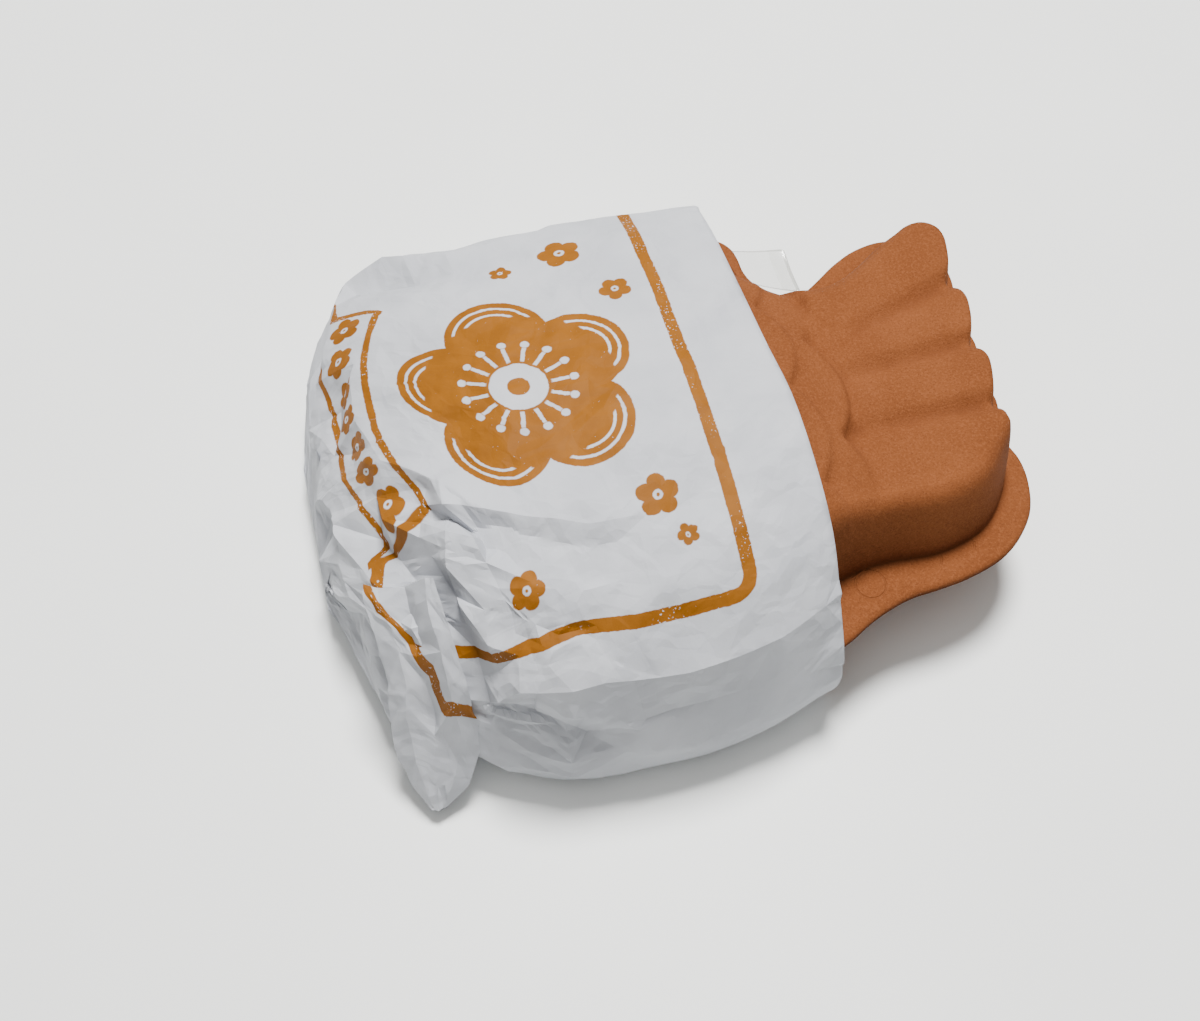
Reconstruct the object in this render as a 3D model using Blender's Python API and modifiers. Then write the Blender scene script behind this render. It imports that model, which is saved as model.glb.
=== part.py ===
"""A soft toy taiyaki lying in a gusseted paper bag, with a strip of clear film beside it.

Run with: blender --background --python part.py
+X runs from the shut end of the bag to the tail, +Y is the far side and +Z is up. Lengths are in
millimetres, and finish() turns them into metres and moves the origin to the table under the middle
of the whole.
"""

import math

import bmesh
import bpy
from mathutils import Vector
from mathutils.geometry import delaunay_2d_cdt

MM = 0.001

# The fish: two halves that meet in a flat rim all round, the lower one flatter
RIM_Z = 22.0
RIM_THICK = 2.6
RIM_WIDTH = 6.5
WALL_DRAFT = 5.5
WALL_RISE = 14.5
BODY_DOME = 11.2
DOME_MIDDLE = Vector((-12, -7))
DOME_HALF = Vector((52, 48))
TAIL_RISE = 18.4
UNDERSIDE_DEPTH = 0.77

# Rows of round scales: the rows' spacing, their centres' spacing across, and the first centre of
# even and odd rows
FIRST_ROW_X = -28.0
ROW_STEP = 8.0
SCALE_PITCH = 22.0
ROW_OFFSETS = (-4.0, -15.0)
SCALE_RADIUS = 16.0
SCALE_STEP = 1.2

# Centres of the scales that make the edge between body and tail
LAST_SCALES = ((20.0, -4.0), (18.0, -26.0), (18.0, 18.0))

# The face, which the bag hides
EYE = Vector((-48, 13))
EYE_RADIUS = 5.0
GILL_CENTRE = Vector((-56, 0))
GILL_RADIUS = 29.0
MOUTH_LINE = (Vector((-66, -4)), Vector((-56, -7)))

# How finely the fish is divided
FISH_POINTS = 136
FISH_GRID = 4.4
RIM_STEPS = 3
WALL_STEPS = 4
SUB_STEPS = 3
EVENING = 0.06

# The paper bag
PAPER = 0.8
MOUTH_X = 22.0
END_X = -72.3
BAG_AROUND = 52
BAG_ALONG = 24

# The strip of film
FILM = 0.5

# The rim's outline seen from above: head, far side, tail, near side
RIM_OUTLINE = (
    (-66, 6), (-64, 24), (-59, 37), (-50, 47), (-36, 53), (-15, 55), (8, 55), (22, 54),
    (28.5, 51), (30.2, 46), (30.6, 41), (33, 37), (37, 33.6), (41, 33.2), (45, 35.5), (50, 39),
    (56, 42), (63, 43), (70, 40.5), (73.8, 35), (74.4, 28), (72, 18.5), (73.4, 11), (71, 3),
    (72.3, -4), (70, -12), (71.6, -20), (70, -28.5), (66, -34.5), (60, -39), (52, -41.6),
    (45, -42.6), (39, -43.2), (33, -45), (28, -47.3), (24, -49.5), (19, -51.1), (10, -53.2),
    (-7, -54.4), (-25, -53.6), (-41, -49), (-53, -40), (-60.5, -28), (-65, -12),
)

# Grooves between the four lobes of the tail, from the body to the tail's end, and the notches
# that they leave there
GROOVE_WIDTH = 2.2
NOTCH_DEPTH = 2.2
NOTCH_REACH = 7.0
TAIL_GROOVES = (
    ((43, 9), (68, 17.5)),
    ((38, -1), (67, 1.5)),
    ((36, -14), (66, -13.5)),
)

# The middle of the neck's hollow on the far side
FAR_NECK = Vector((38, 31))

# The bag's shape along X: station, far edge, near edge, top and bottom
BAG_STATIONS = (
    (22.0, 60.2, 54.8, 51.0, 0.0),
    (8.0, 61.2, 58.4, 51.2, 0.0),
    (-12.0, 61.5, 59.6, 51.0, 0.0),
    (-32.0, 61.5, 58.2, 49.6, 0.0),
    (-44.0, 61.5, 53.4, 46.6, 0.0),
    (-50.0, 61.4, 50.6, 44.0, 0.0),
    (-55.0, 61.2, 54.0, 41.0, 0.0),
    (-59.0, 60.2, 59.6, 37.5, 0.0),
    (-62.5, 56.5, 53.0, 33.0, 0.0),
    (-66.0, 47.5, 36.0, 27.0, 0.6),
    (-69.5, 36.5, 21.0, 19.5, 2.0),
    (-72.3, 24.0, 11.0, 11.5, 5.0),
)

# The point under the middle of the whole, in the coordinates above
MIDDLE = Vector((1.1, 1.05))


def clamp(value, low=0.0, high=1.0):
    return max(low, min(high, value))


def smooth(value):
    value = clamp(value)
    return value * value * (3.0 - 2.0 * value)


def bump(distance, width):
    return math.exp(-((distance / width) ** 2))


def spline(a, b, c, d, t):
    """Catmull-Rom between b and c."""
    return 0.5 * (
        2.0 * b
        + (c - a) * t
        + (2.0 * a - 5.0 * b + 4.0 * c - d) * t * t
        + (3.0 * b - 3.0 * c + d - a) * t ** 3
    )


def closed_curve(points, count):
    """A smooth closed curve through the points, resampled to equal steps."""
    knots = [Vector(p) for p in points]
    total = len(knots)
    fine = []
    for i in range(total):
        a, b, c, d = (knots[(i + k) % total] for k in (-1, 0, 1, 2))
        fine += [spline(a, b, c, d, step / 8) for step in range(8)]
    lengths = [0.0]
    for p, q in zip(fine, fine[1:] + fine[:1]):
        lengths.append(lengths[-1] + (q - p).length)
    curve = []
    j = 0
    for k in range(count):
        want = lengths[-1] * k / count
        while lengths[j + 1] < want:
            j += 1
        part = (want - lengths[j]) / (lengths[j + 1] - lengths[j])
        curve.append(fine[j].lerp(fine[(j + 1) % len(fine)], part))
    return curve


def inset_rings(curve, width_of, steps):
    """Rings ever further inside the clockwise curve, until each point has moved by its width."""
    rings = []
    count = len(curve)
    for _ in range(steps * SUB_STEPS):
        moved = []
        for i, point in enumerate(curve):
            before = curve[i - 1]
            after = curve[(i + 1) % count]
            along = (after - before).normalized()
            inward = Vector((along.y, -along.x)) * (width_of(point) / steps / SUB_STEPS)
            moved.append(point.lerp((before + after) / 2, EVENING) + inward)
        curve = closed_curve(moved, count)
        rings.append(curve)
    return rings[SUB_STEPS - 1 :: SUB_STEPS]


def distance_to(point, start, end):
    along = end - start
    part = clamp((point - start).dot(along) / along.length_squared)
    return (point - start - along * part).length, part


def lobe_corner(point):
    """Less than 1 round the far corner of the tail, where the wall stands further in."""
    return 1.0 - 0.55 * smooth((point.y - 29) / 9)


def rim_width(point):
    """Narrow past the tail's end, wide at the near side of the neck."""
    at_end = smooth((point.x - 60) / 8) * smooth((point.y + 31) / 14) * lobe_corner(point)
    near_neck = smooth((50 - point.x) / 26) * smooth(-point.y / 30) * smooth((point.x + 50) / 30)
    far_neck = bump((point - FAR_NECK).length, 12)
    return (RIM_WIDTH + 4.0 * near_neck - 1.5 * far_neck) * (1.0 - 0.42 * at_end)


def wall_draft(point):
    """Steep at the tail's end, gentle at the body and most so at the head."""
    at_end = smooth((point.x - 58) / 8) * smooth((point.y + 28) / 12) * lobe_corner(point)
    far_neck = bump((point - FAR_NECK).length, 13)
    body = smooth((26 - point.x) / 12)
    head = smooth((-20 - point.x) / 30)
    return WALL_DRAFT * (1.0 - 0.72 * at_end) + 1.5 * body + 2.0 * head + 4.5 * far_neck


def scale_relief(point):
    """Overlapping round scales, each highest at its rear edge. Rows nearer the head lie on top."""
    for row in range(7):
        x = FIRST_ROW_X + ROW_STEP * row
        offset = ROW_OFFSETS[row % 2]
        nearest = min(
            math.hypot(point.x - x, point.y - offset - SCALE_PITCH * k) for k in range(-2, 4)
        )
        if nearest < SCALE_RADIUS and point.x > x:
            return SCALE_STEP * (nearest / SCALE_RADIUS) ** 2
    return 0.0


def body_end(y):
    """Where the last scales end and the tail begins."""
    reach = [
        cx + math.sqrt(SCALE_RADIUS ** 2 - (y - cy) ** 2)
        for cx, cy in LAST_SCALES
        if abs(y - cy) < SCALE_RADIUS
    ]
    return max(reach, default=LAST_SCALES[0][0])


def face_relief(point):
    """Eye, gill cover and mouth."""
    eye = (point - EYE).length
    height = 1.4 * bump(eye - EYE_RADIUS, 1.6) + 1.6 * bump(eye, 2.6)
    if abs(point.y) < 26:
        height += 1.0 * bump((point - GILL_CENTRE).length - GILL_RADIUS, 2.4)
    mouth, _ = distance_to(point, *MOUTH_LINE)
    return height - 1.8 * bump(mouth, 2.0)


def top_rise(point):
    """Height of the upper face above the rim's middle plane."""
    x, y = point
    across = (y - DOME_MIDDLE.y) / DOME_HALF.y
    dome = max(0.0, 1.0 - ((x - DOME_MIDDLE.x) / DOME_HALF.x) ** 4 - across ** 2)
    head = 1.0 - 0.36 * smooth((-28.0 - x) / 34.0)
    body = (WALL_RISE + BODY_DOME * dome) * head - 0.025 * y
    if x > -22.0:
        body += scale_relief(point) * (0.5 + 0.5 * smooth((x - 8.0) / 14.0))
    else:
        body += face_relief(point)
    tail = TAIL_RISE
    for start, end in TAIL_GROOVES:
        away, part = distance_to(point, Vector(start), Vector(end))
        tail -= (1.0 + 1.2 * part) * bump(away, GROOVE_WIDTH)
    return body + (tail - body) * smooth((x - body_end(y)) / 2.5 + 0.2)


def notched(point, share):
    """The point of the wall moved in where a groove of the tail runs out over its end."""
    nearest = min(abs(point.y - end[1]) for _, end in TAIL_GROOVES)
    depth = NOTCH_DEPTH * clamp(1.0 - nearest / NOTCH_REACH) ** 2
    return point - Vector((depth * share * smooth((point.x - 58) / 6), 0))


def inside(point, loop):
    hits = False
    for a, b in zip(loop, loop[1:] + loop[:1]):
        if (a.y > point.y) != (b.y > point.y):
            if point.x < a.x + (point.y - a.y) * (b.x - a.x) / (b.y - a.y):
                hits = not hits
    return hits


def fish_net():
    """The plan of the fish: rings along rim and wall, and a grid inside, as flat triangles."""
    rim = closed_curve(RIM_OUTLINE, FISH_POINTS)
    base = inset_rings(rim, rim_width, RIM_STEPS)[-1]
    rings = [(rim, None), (base, 0.0)]
    for step, ring in enumerate(inset_rings(base, wall_draft, WALL_STEPS), 1):
        share = step / WALL_STEPS
        rings.append(([notched(point, share) for point in ring], share))
    top = rings[-1][0]

    plan = []
    share_of = []
    for ring, share in rings:
        plan += ring
        share_of += [share] * len(ring)
    inner = [Vector(p) for p in top]
    y = -60.0
    odd = False
    while y < 60.0:
        x = -70.0 + (FISH_GRID / 2 if odd else 0.0)
        while x < 75.0:
            point = Vector((x, y))
            if inside(point, inner) and min((point - p).length for p in inner) > FISH_GRID * 0.55:
                plan.append(point)
                share_of.append(2.0)
            x += FISH_GRID
        y += FISH_GRID * 0.866
        odd = not odd
    count = FISH_POINTS
    edges = []
    for r in range(len(rings)):
        edges += [(r * count + i, r * count + (i + 1) % count) for i in range(count)]
    result = delaunay_2d_cdt(plan, edges, [], 1, 1e-5)
    return result[0], result[2], [share_of[origin[0]] for origin in result[3]]


def rise_at(point, share):
    """Height above the rim's middle plane at a point of the net."""
    if share is None or share == 0.0:
        return RIM_THICK / 2
    full = top_rise(point)
    if share > 1.0:
        return full
    round_over = math.sin(share * math.pi / 2) ** 0.85
    return RIM_THICK / 2 + (full - RIM_THICK / 2) * round_over


def make_fish():
    plan, triangles, shares = fish_net()
    mesh = bmesh.new()
    upper = []
    lower = []
    for point, share in zip(plan, shares):
        rise = rise_at(point, share)
        drop = rise if rise <= RIM_THICK / 2 else max(RIM_THICK / 2, rise * UNDERSIDE_DEPTH)
        upper.append(mesh.verts.new((point.x, point.y, RIM_Z + rise)))
        lower.append(mesh.verts.new((point.x, point.y, RIM_Z - drop)))
    for a, b, c in triangles:
        mesh.faces.new((upper[a], upper[b], upper[c]))
        mesh.faces.new((lower[c], lower[b], lower[a]))
    borders = [edge for edge in mesh.edges if edge.is_boundary]
    bmesh.ops.bridge_loops(mesh, edges=borders)
    bmesh.ops.recalc_face_normals(mesh, faces=mesh.faces)
    return finish("taiyaki", mesh, (0.38, 0.14, 0.046), 0.85)


def along_bag(x):
    """The stations' values at x, smoothly between them."""
    last = len(BAG_STATIONS) - 1
    i = 0
    while i < last - 1 and x < BAG_STATIONS[i + 1][0]:
        i += 1
    x0 = BAG_STATIONS[i][0]
    x1 = BAG_STATIONS[i + 1][0]
    t = clamp((x - x0) / (x1 - x0))
    four = [BAG_STATIONS[clamp(i + k, 0, last)] for k in (-1, 0, 1, 2)]
    return [spline(*(row[column] for row in four), t) for column in range(1, 5)]


def bag_section(x):
    """One section across the bag, from the middle of its bottom round by the far side."""
    far, near, top, bottom = along_bag(x)
    tall = top - bottom
    filled = smooth((MOUTH_X - x) / 22.0)
    knots = (
        (0.0, 0.0), (far * 0.5, 0.0), (far - 6.0, 0.02), (far - 1.0, 0.13), (far, 0.36),
        (far - 4.0, 0.62), (far * 0.72, 0.755 + 0.055 * filled), (far * 0.42, 0.845 + 0.085 * filled),
        (far * 0.1, 0.925 + 0.065 * filled), (-near * 0.18, 1.0), (-near * 0.45, 0.97),
        (-near * 0.68, 0.865 + 0.025 * filled), (-near + 9.0, 0.655 + 0.045 * filled),
        (-near + 2.2, 0.45), (-near + 1.2 - 1.2 * filled, 0.26),
        (-near + 4.0 - 2.5 * filled, 0.07), (-near + 8.0, 0.0), (-near * 0.5, 0.0),
    )
    knots = [(y, bottom + tall * share) for y, share in knots]
    return closed_curve(knots, BAG_AROUND)


def make_bag():
    mesh = bmesh.new()
    rings = []
    for step in range(BAG_ALONG + 1):
        share = step / BAG_ALONG
        x = MOUTH_X + (END_X - MOUTH_X) * (share + 0.12 * math.sin(share * math.pi))
        rings.append([mesh.verts.new((x, p.x, p.y)) for p in bag_section(x)])
    for ring, following in zip(rings, rings[1:]):
        for i in range(BAG_AROUND):
            j = (i + 1) % BAG_AROUND
            mesh.faces.new((ring[i], ring[j], following[j], following[i]))
    mesh.faces.new(rings[-1])
    bmesh.ops.recalc_face_normals(mesh, faces=mesh.faces)
    for vert in mesh.verts:
        vert.co.z = max(vert.co.z, 0.0)
    bag = finish("paper_bag", mesh, (0.62, 0.63, 0.65), 0.7)
    wall = bag.modifiers.new("wall", "SOLIDIFY")
    wall.thickness = PAPER * MM
    wall.offset = -1.0
    return bag


def make_film():
    """A flat strip that comes out of the bag beside the neck, below the rim."""
    sections = (
        (14.0, 50.5, 57.0, 13.0), (24.0, 49.5, 57.0, 13.4), (31.0, 46.5, 55.0, 14.0),
        (37.0, 42.0, 52.5, 14.8), (43.4, 38.5, 51.0, 15.6),
    )
    mesh = bmesh.new()
    rows = []
    for x, near, far, z in sections:
        rows.append([mesh.verts.new((x, near + (far - near) * k / 3, z)) for k in range(4)])
    for row, following in zip(rows, rows[1:]):
        for k in range(3):
            mesh.faces.new((row[k], following[k], following[k + 1], row[k + 1]))
    bmesh.ops.recalc_face_normals(mesh, faces=mesh.faces)
    film = finish("clear_film", mesh, (0.8, 0.82, 0.8), 0.15)
    sheet = film.modifiers.new("sheet", "SOLIDIFY")
    sheet.thickness = FILM * MM
    sheet.offset = 0.0
    return film


def finish(name, mesh, colour, roughness):
    """The mesh in metres, over the origin, as a named object with its own material."""
    bmesh.ops.translate(mesh, vec=(-MIDDLE.x, -MIDDLE.y, 0.0), verts=mesh.verts)
    bmesh.ops.scale(mesh, vec=(MM, MM, MM), verts=mesh.verts)
    data = bpy.data.meshes.new(name)
    mesh.to_mesh(data)
    mesh.free()
    data.shade_smooth()
    data.set_sharp_from_angle(angle=math.radians(50))
    material = bpy.data.materials.new(name)
    material.use_nodes = True
    shader = material.node_tree.nodes["Principled BSDF"]
    shader.inputs["Base Color"].default_value = (*colour, 1.0)
    shader.inputs["Roughness"].default_value = roughness
    data.materials.append(material)
    made = bpy.data.objects.new(name, data)
    bpy.data.collections["taiyaki_in_bag"].objects.link(made)
    return made


def main():
    for old in list(bpy.data.objects):
        bpy.data.objects.remove(old)
    parts = bpy.data.collections.new("taiyaki_in_bag")
    bpy.context.scene.collection.children.link(parts)
    make_fish()
    make_bag()
    make_film()


main()
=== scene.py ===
"""A soft moulded toy taiyaki lying in a crumpled paper bag, its tail out of the bag's mouth.

Points of every piece are in millimetres, with +X to the tail, +Y to the far side and +Z up, and
become metres over the table's origin when a mesh is made.
"""

import math

import bmesh
import bpy
import numpy as np
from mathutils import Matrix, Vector, noise
from mathutils.bvhtree import BVHTree
from mathutils.geometry import delaunay_2d_cdt
from mathutils.kdtree import KDTree


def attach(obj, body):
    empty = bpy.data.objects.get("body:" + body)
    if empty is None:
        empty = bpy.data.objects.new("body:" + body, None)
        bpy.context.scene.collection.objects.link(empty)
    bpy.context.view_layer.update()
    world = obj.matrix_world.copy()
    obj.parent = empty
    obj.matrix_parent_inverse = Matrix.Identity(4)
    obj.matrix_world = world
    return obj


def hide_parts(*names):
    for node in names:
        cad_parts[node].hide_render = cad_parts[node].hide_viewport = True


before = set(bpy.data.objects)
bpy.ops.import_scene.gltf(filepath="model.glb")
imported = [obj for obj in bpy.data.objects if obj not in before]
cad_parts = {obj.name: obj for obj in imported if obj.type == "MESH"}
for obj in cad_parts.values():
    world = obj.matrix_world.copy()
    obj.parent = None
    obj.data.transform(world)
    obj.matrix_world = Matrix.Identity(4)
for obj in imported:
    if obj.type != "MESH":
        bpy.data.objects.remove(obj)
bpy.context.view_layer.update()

# The toy: one piece of soft foam, moulded in two halves that meet in a flat rim. It is dry and
# powdery and finely pitted, with painted shade darkening its hollows and creases. The rim's edge is
# rounded, with the mould's seam half way down it, where a dark line of painted shade lies.
MM = 0.001
MIDDLE = np.array((1.1, 1.05))
RIM_Z = 22.0
RIM_THICK = 2.6
RIM_WIDTH = 6.5
WALL_DRAFT = 5.5
WALL_RISE = 14.5
BODY_DOME = 11.2
TAIL_RISE = 18.4
UNDERSIDE_DEPTH = 0.77
SCALE_RADIUS = 16.0
SCALE_STEP = 1.6
SCALE_ROWS = 7
SCALE_PITCH = (8.0, 22.0)
EYE = (-48, 13)
MOUTH_LINE = ((-66, -4), (-56, -7))
OUTLINE_STEPS = 136
EDGE_POINTS = 520
RING_EASING = 0.06
RIM_OUTLINE = (
    (-66, 6), (-64, 24), (-59, 37), (-50, 47), (-36, 53), (-15, 55), (8, 55), (22, 54),
    (28.5, 51), (30.2, 46), (30.6, 41), (33, 37), (37, 33.6), (41, 33.2), (45, 35.5), (50, 39),
    (56, 42), (63, 43), (70, 40.5), (73.8, 35), (74.4, 28), (72, 18.5), (73.4, 11), (71, 3),
    (72.3, -4), (70, -12), (71.6, -20), (70, -28.5), (66, -34.5), (60, -39), (52, -41.6),
    (45, -42.6), (39, -43.2), (33, -45), (28, -47.3), (24, -49.5), (19, -51.1), (10, -53.2),
    (-7, -54.4), (-25, -53.6), (-41, -49), (-53, -40), (-60.5, -28), (-65, -12),
)
TAIL_GROOVES = (((43, 9), (68, 17.5)), ((38, -1), (67, 1.5)), ((36, -14), (66, -13.5)))
FAR_NECK = (38.0, 31.0)
LAST_SCALES = ((20.0, -4.0), (18.0, -26.0), (18.0, 18.0))


def smooth(value):
    value = np.clip(value, 0.0, 1.0)
    return value * value * (3.0 - 2.0 * value)


def bump(distance, width):
    return np.exp(-((distance / width) ** 2))


def closed_curve(points, count, fine=24):
    """A smooth closed curve through the points, cut into equal steps."""
    knots = np.array(points, float)
    a, b, c, d = (np.roll(knots, k, axis=0)[:, None] for k in (1, 0, -1, -2))
    t = (np.arange(fine) / fine)[None, :, None]
    curve = 0.5 * (
        2 * b + (c - a) * t + (2 * a - 5 * b + 4 * c - d) * t ** 2 + (3 * b - 3 * c + d - a) * t ** 3
    )
    curve = curve.reshape(-1, knots.shape[1])
    loop = np.vstack([curve, curve[:1]])
    length = np.append(0.0, np.cumsum(np.linalg.norm(np.diff(loop, axis=0), axis=1)))
    at = np.linspace(0.0, length[-1], count, endpoint=False)
    return np.stack([np.interp(at, length, loop[:, k]) for k in range(loop.shape[1])], axis=1)


def inset_rings(curve, width_of, steps):
    """The clockwise curve and rings ever further inside it, until it has moved by its width."""
    rings = [curve]
    for _ in range(steps):
        before = np.roll(curve, 1, axis=0)
        after = np.roll(curve, -1, axis=0)
        along = after - before
        along /= np.linalg.norm(along, axis=1)[:, None]
        inward = np.stack([along[:, 1], -along[:, 0]], axis=1) * width_of(curve)[:, None] / steps
        softer = curve + RING_EASING * ((before + after) / 2 - curve)
        curve = closed_curve(softer + inward, len(curve), fine=8)
        rings.append(curve)
    return rings


def ring_at(rings, share):
    """The ring at a share of the way through the rings, finely cut."""
    place = share * (len(rings) - 1)
    k = min(int(place), len(rings) - 2)
    between = rings[k] + (rings[k + 1] - rings[k]) * (place - k)
    return closed_curve(between, EDGE_POINTS, fine=12)


def lobe_corner(y):
    """Less than 1 beside the tail's far lobe, which keeps its full rim and slope."""
    return 1.0 - 0.55 * smooth((y - 29) / 9)


def far_neck(points, reach):
    """1 at the neck's far side, falling off over the reach."""
    return bump(np.hypot(points[:, 0] - FAR_NECK[0], points[:, 1] - FAR_NECK[1]), reach)


def rim_width(points):
    """The flat rim's width: wider beside the near neck, narrow at the tail's end."""
    x, y = points.T
    at_end = smooth((x - 60) / 8) * smooth((y + 31) / 14) * lobe_corner(y)
    near_neck = smooth((50 - x) / 26) * smooth(-y / 30) * smooth((x + 50) / 30)
    return (RIM_WIDTH + 4.0 * near_neck - 1.5 * far_neck(points, 12)) * (1.0 - 0.42 * at_end)


def wall_draft(points):
    """How far the wall leans in over its height: little at the tail's end, more on the body."""
    x, y = points.T
    at_end = smooth((x - 58) / 8) * smooth((y + 28) / 12) * lobe_corner(y)
    body = 1.5 * smooth((26 - x) / 12) + 2.0 * smooth((-20 - x) / 30)
    return WALL_DRAFT * (1.0 - 0.72 * at_end) + body + 4.5 * far_neck(points, 13)


def away_from(points, start, end):
    """Distance of points to a line's stretch, and how far along it each lies."""
    start = np.array(start, float)
    along = np.array(end, float) - start
    part = np.clip((points - start) @ along / (along @ along), 0.0, 1.0)
    return np.linalg.norm(points - start - part[:, None] * along, axis=1), part


def scale_relief(points):
    """Overlapping round scales with softly rounded rear edges, those nearer the head on top."""
    relief = np.zeros(len(points))
    for row in reversed(range(SCALE_ROWS)):
        x = -28.0 + SCALE_PITCH[0] * row
        offset = -4.0 if row % 2 == 0 else -4.0 - SCALE_PITCH[1] / 2
        centres = [offset + SCALE_PITCH[1] * k for k in range(-2, 4)]
        away = np.min([np.hypot(points[:, 0] - x, points[:, 1] - y) for y in centres], axis=0)
        inside = smooth((SCALE_RADIUS + 0.5 - away) / 1.1) * smooth((points[:, 0] - x) / 2 + 0.5)
        relief += (SCALE_STEP * (away / SCALE_RADIUS) ** 2 - relief) * inside
    return relief


def top_rise(points):
    """Height of the upper face above the rim's middle plane."""
    x, y = points.T
    dome = np.maximum(0.0, 1.0 - ((x + 12.0) / 52.0) ** 4 - ((y + 7.0) / 48.0) ** 2)
    head = 1.0 - 0.36 * smooth((-28.0 - x) / 34.0)
    body = (WALL_RISE + BODY_DOME * dome) * head - 0.025 * y
    body += scale_relief(points) * smooth((x + 24) / 8) * (0.5 + 0.5 * smooth((x - 8.0) / 14.0))
    eye = np.hypot(x - EYE[0], y - EYE[1])
    gill = bump(np.hypot(x + 56, y) - 29.0, 2.4) * (np.abs(y) < 26)
    face = 1.4 * bump(eye - 5.0, 1.6) + 1.6 * bump(eye, 2.6) + gill
    face -= 1.8 * bump(away_from(points, *MOUTH_LINE)[0], 2.0)
    body += face * smooth((-20 - x) / 8)

    tail = np.full(len(points), TAIL_RISE)
    for start, end in TAIL_GROOVES:
        away, part = away_from(points, start, end)
        tail -= (1.0 + 1.2 * part) * bump(away, 2.2)
    last = np.full(len(points), LAST_SCALES[0][0])
    for cx, cy in LAST_SCALES:
        half = np.sqrt(np.maximum(0.0, SCALE_RADIUS ** 2 - (y - cy) ** 2))
        last = np.maximum(last, np.where(half > 0.0, cx + half, 0.0))
    return body + (tail - body) * smooth((x - last) / 2.5 + 0.2)


def notched(ring, share):
    """The wall moved in where a groove runs out over the tail's end."""
    nearest = np.min([np.abs(ring[:, 1] - end[1]) for _, end in TAIL_GROOVES], axis=0)
    depth = 2.2 * np.clip(1.0 - nearest / 7.0, 0.0, 1.0) ** 2 * share * smooth((ring[:, 0] - 58) / 6)
    return ring - np.stack([depth, np.zeros(len(ring))], axis=1)


def inside_loop(points, loop):
    """Which points lie inside a closed loop."""
    hits = np.zeros(len(points), bool)
    for (ax, ay), (bx, by) in zip(loop, np.roll(loop, -1, axis=0)):
        if ay != by:
            crosses = (ay > points[:, 1]) != (by > points[:, 1])
            hits ^= crosses & (points[:, 0] < ax + (points[:, 1] - ay) * (bx - ax) / (by - ay))
    return hits


def grid_points(low, high, step):
    """Points of a triangular grid, whose rows lie 0.866 of a step apart."""
    points = []
    for k, y in enumerate(np.arange(low[1], high[1], step * 0.866)):
        start = low[0] + step / 2 * (k % 2)
        points += [(x, y) for x in np.arange(start, high[0], step)]
    return np.array(points)


def new_object(name, data):
    """An object of the data, linked into the scene."""
    made = bpy.data.objects.new(name, data)
    bpy.context.scene.collection.objects.link(made)
    return made


def to_object(name, mesh, material):
    """A mesh in millimetres as a finished object in metres over the table's origin."""
    bmesh.ops.translate(mesh, vec=(-MIDDLE[0], -MIDDLE[1], 0.0), verts=mesh.verts)
    bmesh.ops.scale(mesh, vec=(MM, MM, MM), verts=mesh.verts)
    data = bpy.data.meshes.new(name)
    mesh.to_mesh(data)
    mesh.free()
    data.shade_smooth()
    data.materials.append(material)
    return new_object(name, data)


class Value:
    """A number socket of a material's nodes. Python's operators on it add the Math nodes."""

    def __init__(self, finish, socket):
        self.finish = finish
        self.socket = socket

    def math(self, operation, *others):
        inputs = dict(enumerate((self, *others)))
        made = self.finish.node("ShaderNodeMath", {"operation": operation}, inputs)
        return Value(self.finish, made[0])

    def __add__(self, other):
        return self.math("ADD", other)

    def __sub__(self, other):
        return self.math("SUBTRACT", other)

    def __rsub__(self, other):
        return (self * -1.0).math("ADD", other)

    def __mul__(self, other):
        return self.math("MULTIPLY", other)

    __radd__ = __add__
    __rmul__ = __mul__

    def __truediv__(self, other):
        return self.math("DIVIDE", other)

    def __abs__(self):
        return self.math("ABSOLUTE")

    def __or__(self, other):
        """The larger of the two."""
        return self.math("MAXIMUM", other)

    def __and__(self, other):
        """The smaller of the two."""
        return self.math("MINIMUM", other)

    def root(self):
        return self.math("SQRT")

    def ramp(self, low, high):
        """0 below low and 1 above high, smoothly between. With high below low it falls."""
        settings = {"interpolation_type": "SMOOTHSTEP"}
        inputs = {"Value": self.socket, "From Min": low, "From Max": high}
        return Value(self.finish, self.finish.node("ShaderNodeMapRange", settings, inputs)[0])


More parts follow.
